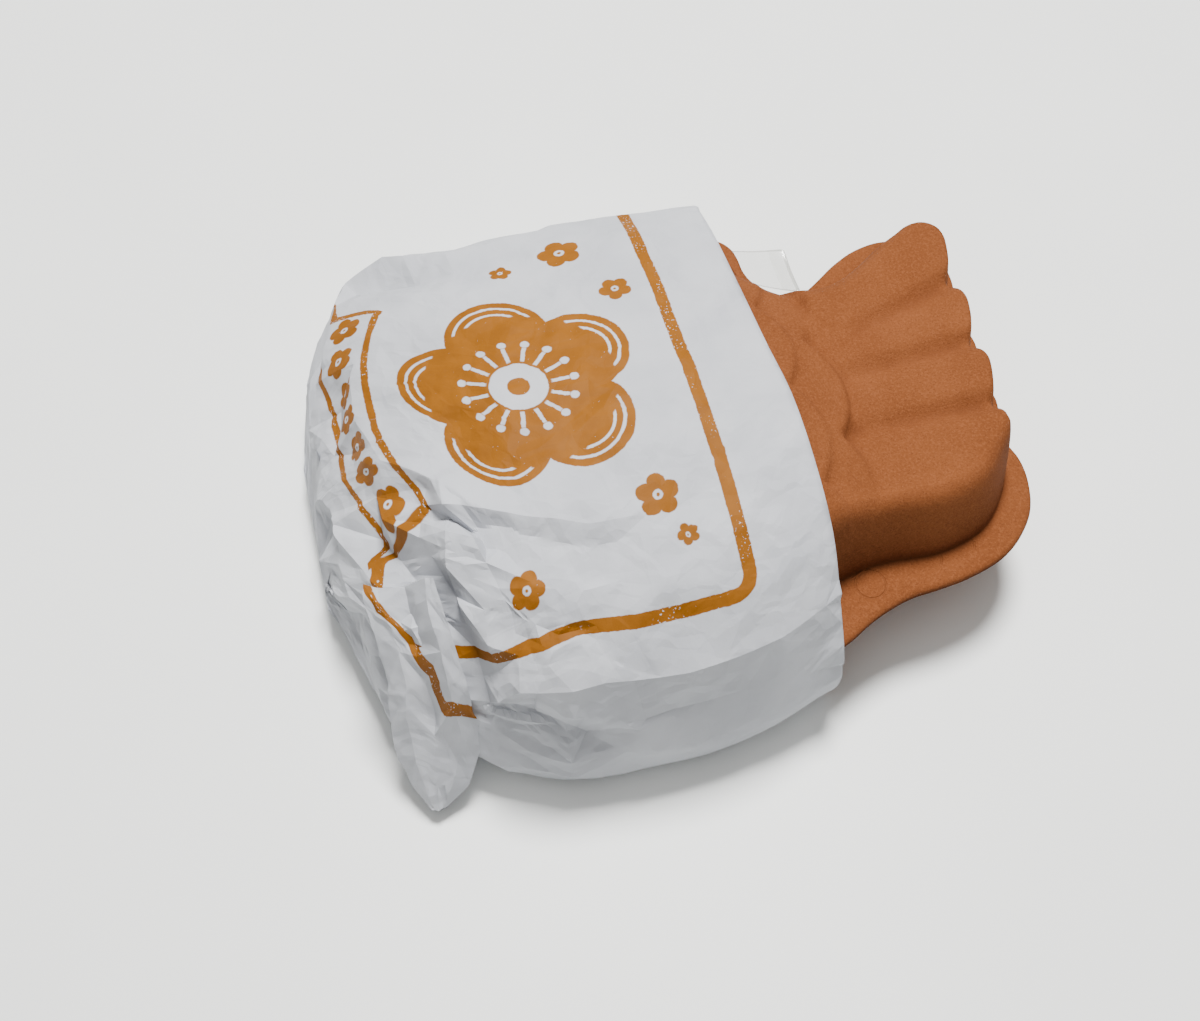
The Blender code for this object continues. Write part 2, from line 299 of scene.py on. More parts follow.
class Finish:
    """A Principled material and the nodes that vary it over a surface."""

    def __init__(self, name, **fixed):
        self.material = bpy.data.materials.new(name)
        self.material.use_nodes = True
        self.tree = self.material.node_tree
        self.shader = self.tree.nodes["Principled BSDF"]
        for socket, value in fixed.items():
            self.shader.inputs[socket.replace("_", " ")].default_value = value

    def node(self, kind, settings, inputs):
        """A node with its settings made first, then its sockets set or linked. Gives its outputs."""
        made = self.tree.nodes.new(kind)
        for setting, value in settings.items():
            setattr(made, setting, value)
        for socket, value in inputs.items():
            if isinstance(value, Value):
                value = value.socket
            if isinstance(value, bpy.types.NodeSocket):
                self.tree.links.new(value, made.inputs[socket])
            else:
                made.inputs[socket].default_value = value
        return [out for out in made.outputs if out.enabled]

    def coordinates(self, output):
        """The coordinates of the object or of its UV map, in millimetres."""
        places = {"UV": 2, "Object": 3}
        at = self.node("ShaderNodeTexCoord", {}, {})[places[output]]
        return self.node("ShaderNodeVectorMath", {"operation": "SCALE"}, {0: at, "Scale": 1 / MM})[0]

    def split(self, vector):
        return [Value(self, out) for out in self.node("ShaderNodeSeparateXYZ", {}, {0: vector})]

    def noise(self, vector, size, detail=2.0, rough=0.5):
        """Noise from 0 to 1, with lumps of about this size in millimetres."""
        inputs = {"Vector": vector, "Scale": 1.0 / size, "Detail": detail, "Roughness": rough}
        return Value(self, self.node("ShaderNodeTexNoise", {}, inputs)[0])

    def mix(self, share, *colours):
        """A share from 0 to 1 of the second colour over the first. A Mix node has several sockets
        of one name, so its share and colours go by their numbers."""
        first, second = (c if isinstance(c, bpy.types.NodeSocket) else (*c, 1.0) for c in colours)
        return self.node("ShaderNodeMix", {"data_type": "RGBA"}, {0: share, 6: first, 7: second})[0]

    def connect(self, **inputs):
        for socket, value in inputs.items():
            value = value.socket if isinstance(value, Value) else value
            self.tree.links.new(value, self.shader.inputs[socket.replace("_", " ")])

    def relief(self, height, depth):
        """Bumps the surface by a height from 0 to 1 times a depth in millimetres."""
        inputs = {"Height": height, "Distance": depth * MM, "Strength": 1.0}
        self.connect(Normal=self.node("ShaderNodeBump", {}, inputs)[0])


def near_line(x, y, start, end):
    """Distance in a material from the point x, y to a line's stretch."""
    dx = end[0] - start[0]
    dy = end[1] - start[1]
    part = ((x - start[0]) * dx + (y - start[1]) * dy) / (dx * dx + dy * dy)
    part = (part | 0.0) & 1.0
    px = x - start[0] - part * dx
    py = y - start[1] - part * dy
    return (px * px + py * py).root()


FOAM_SHADES = ((0.148, 0.046, 0.0145), (0.18, 0.058, 0.019))
FOAM_GRAIN = (0.235, 0.08, 0.03)
FOAM_PITS = (0.1, 0.03, 0.01)
# Painted shade: the dark brown put in the toy's hollows and creases
FOAM_HOLLOW_SHADE = (0.07, 0.021, 0.008)
FOAM_MARKS = (0.16, 0.05, 0.016)
# Painted shade: the dark line along the rim's seam
FOAM_SEAM_SHADE = (0.06, 0.018, 0.006)
PATCH_SIZE = 14.0
GRAIN_SIZE = 0.5
PIT_SIZE = 0.3
FOAM_RELIEF = 0.22
PLUG_MARK = ((30.9, -40.0), (30.9, -39.9))
PLUG_RADIUS = 3.0
DENTS = (((27.5, -38), (31, -36.5)), ((46, -39), (46.5, -37.5)), ((53.5, -37.5), (54, -36)))


def foam_finish():
    foam = Finish("baked_foam", Roughness=0.95, Specular_IOR_Level=0.08)
    at = foam.coordinates("Object")
    x, y, z = foam.split(at)
    patches = foam.noise(at, PATCH_SIZE, 3.0, 0.55)
    grain = foam.noise(at, GRAIN_SIZE, 3.0, 0.75)
    pits = foam.noise(at, PIT_SIZE, 1.0)
    colour = foam.mix(patches.ramp(0.3, 0.72), *FOAM_SHADES)
    colour = foam.mix(grain.ramp(0.44, 0.66) * 0.6, colour, FOAM_GRAIN)
    colour = foam.mix(pits.ramp(0.46, 0.26) * 0.6, colour, FOAM_PITS)

    # Painted shade: darker and browner in the hollows and creases, by how hollow the surface is
    hollow = Value(foam, foam.node("ShaderNodeAttribute", {"attribute_name": "hollow"}, {})[2])
    hollow_shade = (hollow + grain * 0.3 - 0.15).ramp(0.1, 0.8) * 0.7
    colour = foam.mix(hollow_shade, colour, FOAM_HOLLOW_SHADE)

    # The mould's round plug and some small dents, on the near side of the rim
    plug = abs(near_line(x, y, *PLUG_MARK) - PLUG_RADIUS)
    marks = plug.ramp(0.28, 0.05) * z.ramp(22.6, 23.1) * z.ramp(26.0, 24.0)
    for start, end in DENTS:
        marks = marks | near_line(x, y, start, end).ramp(0.3, 0.06)
    colour = foam.mix(marks * 0.55, colour, FOAM_MARKS)
    # Painted shade: a dark line along the mould's seam, where the gap between the two halves is in shade
    seam = abs(z - RIM_Z).ramp(0.55, 0.15) * 0.75
    foam.connect(Base_Color=foam.mix(seam, colour, FOAM_SEAM_SHADE))
    foam.relief(grain * 0.55 + pits * 0.35 + patches * 0.5 - marks * 0.8, FOAM_RELIEF)
    return foam.material


TIGHT_BEND = 0.35
HOLLOW_PASSES = 3
HOLLOW_GAIN = 1.6


def mark_hollows(mesh):
    """How hollow the surface is at each point, from -1 on sharp edges to 1 in deep creases. It sets the
    painted shade in the foam's hollows.
    """
    mesh.normal_update()
    mesh.verts.index_update()
    curve = np.zeros(len(mesh.verts))
    for vert in mesh.verts:
        bends = []
        for edge in vert.link_edges:
            across = edge.other_vert(vert).co - vert.co
            bends.append(across.dot(vert.normal) / edge.calc_length() ** 2)
        curve[vert.index] = sum(bends) / len(bends)
    curve = np.clip(curve / TIGHT_BEND, -1.0, 1.0)
    sides = np.array([[v.index for v in edge.verts] for edge in mesh.edges])
    for _ in range(HOLLOW_PASSES):
        total = curve.copy()
        count = np.ones(len(curve))
        for a, b in ((0, 1), (1, 0)):
            np.add.at(total, sides[:, a], curve[sides[:, b]])
            np.add.at(count, sides[:, a], 1.0)
        curve = total / count
    layer = mesh.verts.layers.float.new("hollow")
    for vert in mesh.verts:
        vert[layer] = float(np.clip(curve[vert.index] * HOLLOW_GAIN, -1.0, 1.0))


RIM_STEPS = 9
WALL_STEPS = 12
WALL_ROUNDING = 0.85
RIM_EDGE = ((0.02, 0.75), (0.07, 1.15))
RIM_FLAT = (0.16, 0.45, 0.8)
RIM_HOLLOW = ((0.94, -0.08), (1.0, 0.05))
SEAM_RINGS = ((0.0, 0.35), (0.035, 0.0), (0.0, -0.35))
FINE_GRID = ((8.0, -45.0), (74.0, 50.0), 0.85)
COARSE_GRID = ((-66.0, -60.0), (8.0, 60.0), 2.0)
GRID_CLEARANCE = 0.6
LUMPS = ((7.0, 0.0, 0.22), (2.4, 5.0, 0.07))


def make_toy():
    outline = closed_curve(RIM_OUTLINE, OUTLINE_STEPS)
    rim = inset_rings(outline, rim_width, RIM_STEPS)
    wall = inset_rings(rim[-1], wall_draft, WALL_STEPS)
    half = RIM_THICK / 2

    # The rim's rounded edge, its flat and a small hollow where the wall rises from it
    rings = [(ring_at(rim, share), z) for share, z in RIM_EDGE]
    rings += [(ring_at(rim, share), half) for share in RIM_FLAT]
    rings += [(ring_at(rim, share), half + z) for share, z in RIM_HOLLOW]
    flat = len(rings)
    for k in range(1, WALL_STEPS + 1):
        share = 2 / math.pi * math.asin((k / WALL_STEPS) ** (1 / WALL_ROUNDING))
        rings.append((notched(ring_at(wall, share), share), share))
    top = rings[-1][0]

    # The upper face is cut finely where it shows and coarsely in the bag
    fine = grid_points(*FINE_GRID)
    coarse = grid_points(*COARSE_GRID)
    edge = KDTree(len(top))
    for k, (x, y) in enumerate(top):
        edge.insert((x, y, 0.0), k)
    edge.balance()
    inner = np.vstack([fine, coarse])
    inner = inner[inside_loop(inner, top)]
    inner = np.array([p for p in inner if edge.find((*p, 0.0))[2] > GRID_CLEARANCE])
    plan = np.vstack([ring for ring, _ in rings] + [inner])

    rise = np.empty(len(plan))
    full = top_rise(plan)
    for k, (_, value) in enumerate(rings):
        part = slice(k * EDGE_POINTS, (k + 1) * EDGE_POINTS)
        if k < flat:
            rise[part] = value
        else:
            climb = math.sin(value * math.pi / 2) ** WALL_ROUNDING
            rise[part] = half + (full[part] - half) * climb
    rest = slice(len(rings) * EDGE_POINTS, None)
    rise[rest] = full[rest]
    sunk = np.where(rise <= half + 0.05, rise, np.maximum(half, rise * UNDERSIDE_DEPTH))
    lumps = np.zeros(len(plan))
    for size, z, height in LUMPS:
        lumps += np.array([noise.noise(Vector((x / size, y / size, z))) for x, y in plan]) * height
    soft = np.where(rise > half + 0.1, 1.0, 0.35)

    edges = []
    for k in range(len(rings)):
        first = k * EDGE_POINTS
        edges += [(first + i, first + (i + 1) % EDGE_POINTS) for i in range(EDGE_POINTS)]
    net = delaunay_2d_cdt([Vector(p) for p in plan], edges, [], 1, 1e-5)
    source = [origin[0] for origin in net[3]]
    place = {origin: k for k, origin in enumerate(source)}

    mesh = bmesh.new()
    upper = []
    lower = []
    for i in source:
        x, y = plan[i]
        upper.append(mesh.verts.new((x, y, RIM_Z + rise[i] + lumps[i] * soft[i])))
        lower.append(mesh.verts.new((x, y, RIM_Z - sunk[i] + lumps[i] * soft[i] * 0.5)))
    for a, b, c in net[2]:
        mesh.faces.new((upper[a], upper[b], upper[c]))
        mesh.faces.new((lower[c], lower[b], lower[a]))

    # The rim's edge, with the seam where the two halves of the mould met
    bands = [[upper[place[i]] for i in range(EDGE_POINTS)]]
    for share, z in SEAM_RINGS:
        bands.append([mesh.verts.new((x, y, RIM_Z + z)) for x, y in ring_at(rim, share)])
    bands.append([lower[place[i]] for i in range(EDGE_POINTS)])
    for band, following in zip(bands, bands[1:]):
        for i in range(EDGE_POINTS):
            j = (i + 1) % EDGE_POINTS
            mesh.faces.new((band[i], band[j], following[j], following[i]))
    bmesh.ops.recalc_face_normals(mesh, faces=mesh.faces)
    mark_hollows(mesh)
    return to_object("foam_taiyaki", mesh, foam_finish())


toy = make_toy()
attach(toy, "root")
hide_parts("taiyaki")

# The bag: one sheet of thin white paper folded round, with pleats down its sides. It is crushed
# at the shut end, where its near corner stands out as an ear, and creased where it was gripped.
PAPER = 0.22
MOUTH_X = 22.0
END_X = -72.3
BAG_AROUND = 300
BAG_ALONG = 150
CROWDED_END = 0.12
SHUT_HEIGHT = 8.25
MIDDLE_ROW = 40
BAG_STATIONS = (  # station, far edge, near edge, top and bottom
    (22.0, 60.2, 54.8, 51.0, 0.0), (8.0, 61.2, 58.4, 51.2, 0.0), (-12.0, 61.5, 59.6, 51.0, 0.0),
    (-32.0, 61.5, 58.2, 49.6, 0.0), (-44.0, 61.5, 53.4, 46.6, 0.0), (-50.0, 61.4, 49.6, 44.0, 0.0),
    (-55.0, 61.2, 48.0, 41.0, 0.0), (-59.0, 60.2, 46.0, 37.5, 0.0), (-62.5, 56.5, 42.0, 33.0, 0.0),
    (-66.0, 47.5, 33.0, 27.0, 0.6), (-69.5, 36.5, 21.0, 19.5, 2.0), (-72.3, 24.0, 11.0, 11.5, 5.0),
)


def along_bag(x):
    """Far edge, near edge, top and bottom at x, smoothly between the stations."""
    rows = np.array(BAG_STATIONS)
    last = len(rows) - 1
    i = 0
    while i < last - 1 and x < rows[i + 1, 0]:
        i += 1
    t = min(1.0, max(0.0, (x - rows[i, 0]) / (rows[i + 1, 0] - rows[i, 0])))
    a, b, c, d = (rows[min(max(i + k, 0), last), 1:] for k in (-1, 0, 1, 2))
    return 0.5 * (
        2 * b + (c - a) * t + (2 * a - 5 * b + 4 * c - d) * t ** 2 + (3 * b - 3 * c + d - a) * t ** 3
    )


def bag_section(x):
    """One section across the bag, from the middle of its bottom round by the far side."""
    far, near, top, bottom = along_bag(x)
    filled = smooth((MOUTH_X - x) / 22.0)
    knots = (
        (0.0, 0.0), (far * 0.5, 0.0), (far - 6.0, 0.02), (far - 1.0, 0.13), (far, 0.36),
        (far - 4.0, 0.62), (far * 0.72, 0.755 + 0.055 * filled), (far * 0.42, 0.845 + 0.085 * filled),
        (far * 0.1, 0.925 + 0.065 * filled), (-near * 0.18, 1.0), (-near * 0.45, 0.97),
        (-near * 0.68, 0.865 + 0.025 * filled), (-near + 9.0, 0.655 + 0.045 * filled),
        (-near + 2.2, 0.45), (-near + 1.2 - 1.2 * filled, 0.26),
        (-near + 4.0 - 2.5 * filled, 0.07), (-near + 8.0, 0.0), (-near * 0.5, 0.0),
    )
    knots = [(y, bottom + (top - bottom) * share) for y, share in knots]
    return closed_curve(knots, BAG_AROUND)


class Sheet:
    """The bag's smooth shape, as a map from the flat paper to where it lies. A place on the paper
    is how far it is from the mouth and how far round from the middle of the bottom."""

    def __init__(self):
        rows = []
        for step in range(BAG_ALONG + 1):
            share = step / BAG_ALONG
            x = MOUTH_X + (END_X - MOUTH_X) * (share + CROWDED_END * math.sin(share * math.pi))
            section = bag_section(x)
            rows.append(np.column_stack([np.full(len(section), x), section]))

        # The shut end, where top and bottom come together in one line
        for step in (1, 2, 3):
            section = rows[BAG_ALONG].copy()
            section[:, 0] -= 0.3 * step
            section[:, 2] += (SHUT_HEIGHT - section[:, 2]) * (step / 3) * 0.97
            rows.append(section)
        self.rows = np.array(rows)
        steps = np.linalg.norm(np.diff(self.rows, axis=0), axis=2).mean(axis=1)
        self.down = np.append(0.0, np.cumsum(steps))
        self.length = self.down[-1]
        middle = self.rows[MIDDLE_ROW]
        self.width = np.linalg.norm(middle - np.roll(middle, -1, axis=0), axis=1).sum()
        du = np.roll(self.rows, -1, axis=1) - np.roll(self.rows, 1, axis=1)
        out = np.cross(np.gradient(self.rows, axis=0), du)
        self.out = out / np.linalg.norm(out, axis=2)[:, :, None]

    def place(self, flat):
        """Where points of the flat paper lie on the smooth shape, and the way out of it there."""
        row = np.interp(flat[:, 0], self.down, np.arange(len(self.down)))
        column = flat[:, 1] / self.width * BAG_AROUND
        i = np.clip(row.astype(int), 0, len(self.down) - 2)
        j = np.floor(column).astype(int)
        a = (row - i)[:, None]
        b = (column - j)[:, None]
        found = []
        for table in (self.rows, self.out):
            near = table[i, j % BAG_AROUND] * (1 - b) + table[i, (j + 1) % BAG_AROUND] * b
            far = table[i + 1, j % BAG_AROUND] * (1 - b) + table[i + 1, (j + 1) % BAG_AROUND] * b
            found.append(near * (1 - a) + far * a)
        return found[0], found[1] / np.linalg.norm(found[1], axis=1)[:, None]


sheet = Sheet()

# Folds pressed into the paper, each through points of the flat sheet (down from the mouth, round,
# and the height there above the smooth shape). The pleats stay sharp. The creases fan from two
# places at the near shoulder, where the paper was gripped.
PLEATS = (
    ((0, 208.5, 0.9), (4, 209, 1.4), (19, 208.5, 2.0), (32, 209, 2.2), (47, 208, 2.0), (59, 210, 2.6)),
    ((0, 227, -0.6), (3, 226, -0.8), (21, 219, -0.8), (35, 219, -1.0), (46, 221, -0.8)),
    ((0, 99, 0.6), (20, 98, 1.0), (39, 98, 1.1), (52, 101, 1.2), (61, 100, 1.8), (70, 98, 3.4)),
    ((56, 108, -0.4), (65, 107, -1.8), (72, 105, -2.4), (79, 104, -0.8)),
    ((76, 184, 0.6), (72, 196, -1.2), (71, 208, -2.0), (70, 220, -1.6), (71, 232, -0.6)),
    ((98, 182, 1.2), (100, 192, 1.4), (99, 203, 1.0)),
)
CREASES = (
    ((70, 178, -1.0), (64, 181, -3.0), (56, 180.5, -1.6), (49, 182, -1.4), (44, 185, -2.2)),
    ((66, 175, 1.2), (58, 175.5, 0.9), (50, 177, 0.8), (44, 179, 0.5)),
    ((44, 185, -2.2), (39, 190, -0.8), (33, 192, 0.3)),
    ((44, 185, -2.2), (48, 191, -0.6), (54, 199, -0.9)),
    ((65, 182, 1.8), (62, 196, -1.4), (54, 199, -0.9)),
    ((71, 197, 0.6), (62, 196, -1.4)),
    ((59, 210, 2.6), (54, 199, -0.9), (41, 207, 1.2)),
    ((54, 199, -0.9), (47, 198, -1.2), (40, 199, 0.3)),
    ((59, 210, 2.6), (62, 219, -2.5)),
    (
        (72, 224, -1.6), (66, 218, -1.6), (62, 219, -2.5), (56, 219, -1.0), (52, 223, -2.4),
        (45, 228, -0.3),
    ),
    ((62, 211, 2.2), (67, 216, 0.9)),
    ((60, 215, 1.2), (47, 216, 0.7), (42, 222, -0.2)),
    ((62, 219, -2.5), (64, 235, 0.6)),
    ((56, 219, -1.0), (55, 235, 0.8)),
    ((69, 170, 1.6), (69, 182, 3.4), (71, 190, 2.4)),
    ((76, 180, -1.0), (73, 172, -0.6)),
    ((88, 182, -3.0), (84, 188, -3.2), (80, 195, -3.0), (76, 203, -2.6)),
    ((80, 100, 1.6), (86, 120, 2.2), (88, 124, 2.4), (101, 131, 2.2), (106, 141, 1.2)),
    ((84, 100, -1.2), (89, 116, -1.6), (94, 124, -1.5), (104, 128, -1.0)),
    ((109, 158, 1.2), (101, 165, 2.0), (98, 172, 1.6), (96, 181, 2.4)),
    ((112, 165, -1.0), (105, 172, -1.4), (101, 180, -0.8)),
    ((74, 112, 0.8), (75, 121, 1.2), (77, 134, 0.9), (78, 148, -0.3)),
    ((71, 170, 1.0), (66, 163, -1.3), (64, 155, -0.8), (62, 147, 0.2)),
    ((66, 163, -1.3), (58, 165, -0.5), (51, 171, 0.5)),
    ((78, 126, 1.2), (83, 138, 1.4), (84, 150, 1.0), (80, 164, 1.2)),
    ((100, 60, 1.3), (104, 84, 1.8), (99, 104, 1.0)),
    ((92, 30, 1.2), (98, 56, -1.3), (90, 78, 1.2)),
    ((60, 70, -1.0), (72, 84, -1.3), (70, 98, 3.4)),
    ((30, 76, -1.2), (48, 82, -1.6), (60, 90, 0.6)),
)
CREASE_DEPTH = 1.15
FOLD_CUT = 5.0
SAME_PLACE = 0.3
LOOSE_TRIES = 9000
LOOSE_SPACING = 7.6
CRUSHED_CLOSER = 2.8
LIFT_GUSSET = 0.06
LIFT_TOP = 0.36
LIFT_CRUSHED = 0.9
MOST_LIFT = 1.6


def gripped(flat):
    """1 where the paper is badly crushed, 0 where it lies smoothly over the toy."""
    s, u = flat.T
    front = smooth((s - 34) / 26) * smooth((u - 168) / 16) * smooth((250 - u) / 18)
    end = 0.7 * smooth((s - 72) / 18)
    side = 0.6 * smooth((s - 20) / 30) * smooth((96 - u) / 12) * smooth((u - 40) / 16)
    return np.maximum(np.maximum(front, end), side)


def folded_net():
    """The flat sheet cut along its folds, with loose points between them, as triangles."""
    draw = np.random.default_rng(11)
    points = []
    heights = []
    edges = []
    sharp = []

    def add_line(line, is_sharp):
        line = np.array(line, float)
        for k, (start, end) in enumerate(zip(line, line[1:])):
            cuts = max(1, round(np.linalg.norm((end - start)[:2]) / FOLD_CUT))
            for cut in range(0 if k == 0 else 1, cuts + 1):
                between = start + (end - start) * cut / cuts
                known = [i for i, p in enumerate(points) if math.dist(p, between[:2]) < SAME_PLACE]
                if known:
                    here = known[0]
                else:
                    here = len(points)
                    points.append((between[0], between[1]))
                    heights.append(between[2])
                    sharp.append(is_sharp)
                if not (k == 0 and cut == 0):
                    edges.append((last, here))
                last = here

    length = sheet.length
    width = sheet.width
    corners = ((0, 0, 0), (0, width, 0), (length, width, 0), (length, 0, 0), (0, 0, 0))
    for corner, following in zip(corners, corners[1:]):
        add_line((corner, following), True)
    for fold in PLEATS:
        add_line(fold, True)
    for fold in CREASES:
        add_line([(s, u, height * CREASE_DEPTH) for s, u, height in fold], False)

    placed = list(sheet.place(np.array(points))[0])
    tries = draw.uniform((2.5, 2.5), (length - 2.0, width - 2.5), (LOOSE_TRIES, 2))
    spots, _ = sheet.place(tries)
    crush = gripped(tries)
    lifts = draw.normal(0.0, 1.0, len(tries))
    for flat, spot, crushed, lift in zip(tries, spots, crush, lifts):
        room = LOOSE_SPACING - CRUSHED_CLOSER * crushed
        if min(np.linalg.norm(np.array(placed) - spot, axis=1)) > room:
            loose = LIFT_GUSSET + LIFT_TOP * smooth((205 - flat[1]) / 10) + LIFT_CRUSHED * crushed
            points.append(tuple(flat))
            placed.append(spot)
            heights.append(float(np.clip(lift, -MOST_LIFT, MOST_LIFT)) * loose)
            sharp.append(False)
    net = delaunay_2d_cdt([Vector(p) for p in points], edges, [], 0, 1e-5)

    # Where two folds cross, the net has a new point, which takes the height of the nearest one
    flat = np.array([tuple(p) for p in net[0]])
    source = [
        origin[0] if origin else int(np.argmin(np.linalg.norm(np.array(points) - here, axis=1)))
        for origin, here in zip(net[3], flat)
    ]
    return flat, np.array(heights)[source], np.array(sharp)[source], np.array(net[2])


def split_all(triangles, columns, lift, draw):
    """Each triangle cut into four, the columns of values shared out along its sides. The new
    points get small random heights, so that each fold carries finer ones."""
    middles = {}
    made = []
    pairs = []

    def middle(a, b):
        key = (min(a, b), max(a, b))
        if key not in middles:
            middles[key] = len(columns) + len(pairs)
            pairs.append(key)
        return middles[key]

    for a, b, c in triangles:
        ab = middle(a, b)
        bc = middle(b, c)
        ca = middle(c, a)
        made += [(a, ab, ca), (ab, b, bc), (ca, bc, c), (ab, bc, ca)]
    pairs = np.array(pairs)
    between = (columns[pairs[:, 0]] + columns[pairs[:, 1]]) / 2
    _, out = sheet.place(between[:, :2])
    loose = 1.0 - between[:, 3]
    jump = draw.normal(0.0, 1.0, len(between)) * lift * (0.45 + 1.1 * gripped(between[:, :2])) * loose
    between[:, 2] += jump
    between[:, 4:7] += out * jump[:, None]
    return np.array(made), np.vstack([columns, between])


EASE_STEP = 0.6


def eased(points, triangles, holding):
    """Points drawn once towards the middle of their neighbours, less where the holding is near 1."""
    sides = np.vstack([triangles[:, [0, 1]], triangles[:, [1, 2]], triangles[:, [2, 0]]])
    sides = np.vstack([sides, sides[:, ::-1]])
    count = np.bincount(sides[:, 0], minlength=len(points))[:, None]
    total = np.zeros_like(points)
    np.add.at(total, sides[:, 0], points[sides[:, 1]])
    return points + (total / count - points) * (EASE_STEP * (1 - holding))[:, None]


REACH = 4.0
ABOVE_TABLE = 0.06


def clear_of_toy(points, gap):
    """Points moved outwards where they are nearer to the toy than the gap, and up off the table."""
    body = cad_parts["taiyaki"].data
    verts = [(v.co.x / MM + MIDDLE[0], v.co.y / MM + MIDDLE[1], v.co.z / MM) for v in body.vertices]
    tree = BVHTree.FromPolygons(verts, [tuple(face.vertices) for face in body.polygons])
    cleared = points.copy()
    for k, point in enumerate(points):
        near, normal, _, away = tree.find_nearest(Vector(point), REACH)
        if near is None:
            continue
        above = (Vector(point) - near).dot(normal)
        reach = away if above > 0 else -away
        if reach < gap:
            cleared[k] += np.array(normal) * (gap - reach)
    cleared[:, 2] = np.maximum(cleared[:, 2], ABOVE_TABLE)
    return cleared


# Where the print lies on the flat sheet: its frame, a large plum blossom with loose small ones,
# and a curved band of blossoms near the shut end. Sizes of a blossom's parts are shares of its own.
FRAME_LOW = (17.5, 88.0)
FRAME_HIGH = (84.0, 198.0)
FRAME_CORNER = 3.5
PRINTED_ROUND = (84.0, 222.0)
BLOSSOM = (50.0, 147.0)
BLOSSOM_SIZE = 24.0
BLOSSOM_TURN = 0.15
PETALS = 5
PETAL_AWAY = 0.58
PETAL_RADIUS = 0.43
HEART_RADIUS = 0.235
SEED_RADIUS = 0.09
STAMENS = 15
STAMEN_TIP = 0.45
PETAL_ARCS = ((0.35, 0.12), (0.27, 0.18))
BAND_CENTRE = (21.0, 147.0)
BAND_RADII = (59.5, 72.5)
BAND_HALF = 0.47
BAND_BLOSSOMS = 7
BAND_BLOSSOM_SIZE = 3.6
SMALL_BLOSSOMS = (
    ((30.5, 176.0), 4.2, 0.3), ((26.0, 126.0), 3.4, 0.9), ((34.0, 110.0), 4.6, 0.1),
    ((58.0, 188.0), 3.6, 0.6), ((47.0, 112.5), 2.4, 0.5), ((27.0, 184.5), 2.2, 0.0),
)
LINE_HALF = 1.35
INK_EDGE = 0.12
WHOLE_TURNS = 20.5


def blossom(dx, dy, size, turn):
    """Ink of a blossom at dx, dy from its middle, with how far the nearest petal's middle is, and
    how far outwards of it the place lies."""
    away = (dx * dx + dy * dy).root()
    petal = dy.math("ARCTAN2", dx) / (math.tau / PETALS) + (turn + WHOLE_TURNS)
    angle = abs(petal.math("FRACT") - 0.5) * (math.tau / PETALS)
    outwards = away * angle.math("COSINE") - PETAL_AWAY * size
    across = away * angle.math("SINE")
    from_petal = (outwards * outwards + across * across).root()
    round_petal = from_petal.ramp(PETAL_RADIUS * size + INK_EDGE, PETAL_RADIUS * size - INK_EDGE)
    round_heart = away.ramp(HEART_RADIUS * size - INK_EDGE, HEART_RADIUS * size + INK_EDGE)
    seed = away.ramp(SEED_RADIUS * size + INK_EDGE, SEED_RADIUS * size - INK_EDGE)
    return (round_petal * round_heart) | seed, from_petal, outwards


def drawn_lines(dx, dy, size, from_petal, outwards):
    """White lines of the large blossom: stamens with a dot at each end, three on each petal, and
    two arcs near each petal's tip."""
    away = (dx * dx + dy * dy).root()
    stamen = dy.math("ARCTAN2", dx) / (math.tau / STAMENS) + 30.0
    sideways = abs(stamen.math("FRACT") - 0.5) * (math.tau / STAMENS) * away
    lines = sideways.ramp(0.5, 0.3) * away.ramp(0.42 * size, 0.4 * size)
    lines = lines * away.ramp(0.25 * size, 0.27 * size)
    to_tip = away - STAMEN_TIP * size
    lines = lines | (to_tip * to_tip + sideways * sideways).root().ramp(1.0, 0.75)
    for radius, start in PETAL_ARCS:
        arc = abs(from_petal - radius * size).ramp(0.4, 0.2)
        lines = lines | arc * outwards.ramp(start * size, (start + 0.02) * size)
    return lines


def print_ink(down, around, wear):
    """Ink of the whole print, from 0 to 1. Only its lines are worn."""
    mid = [(a + b) / 2 for a, b in zip(FRAME_LOW, FRAME_HIGH)]
    half = [(b - a) / 2 - FRAME_CORNER for a, b in zip(FRAME_LOW, FRAME_HIGH)]
    qx = abs(down - mid[0]) - half[0]
    qy = abs(around - mid[1]) - half[1]
    ox = qx | 0.0
    oy = qy | 0.0
    outside = (ox * ox + oy * oy).root() + ((qx | qy) & 0.0) - FRAME_CORNER
    border = abs(outside).ramp(LINE_HALF + 0.1, LINE_HALF - 0.1)

    dx = down - BAND_CENTRE[0]
    dy = around - BAND_CENTRE[1]
    radius = (dx * dx + dy * dy).root()
    angle = dy.math("ARCTAN2", dx)
    mid_radius = sum(BAND_RADII) / 2
    deep = abs(radius - mid_radius) - (BAND_RADII[1] - BAND_RADII[0]) / 2
    long = (abs(angle) - BAND_HALF) * mid_radius
    band = deep | long
    band_line = abs(band).ramp(0.85, 0.65)
    border = border * band.ramp(-0.1, 0.1)
    step = 2 * BAND_HALF / BAND_BLOSSOMS
    place = angle / step + WHOLE_TURNS
    sideways = (place.math("FRACT") - 0.5) * (step * mid_radius)
    row = blossom(radius - mid_radius, sideways, BAND_BLOSSOM_SIZE, 0.0)[0] * band.ramp(-0.5, -0.9)

    dx = down - BLOSSOM[0]
    dy = around - BLOSSOM[1]
    flowers, from_petal, outwards = blossom(dx, dy, BLOSSOM_SIZE, BLOSSOM_TURN)
    flowers = flowers * (1.0 - drawn_lines(dx, dy, BLOSSOM_SIZE, from_petal, outwards))
    for (cx, cy), size, turn in SMALL_BLOSSOMS:
        flowers = flowers | blossom(down - cx, around - cy, size, turn)[0]
    ink = (border | band_line) * wear | row | flowers
    low, high = PRINTED_ROUND
    return ink * around.ramp(low, low + 1.0) * around.ramp(high, high - 1.0)


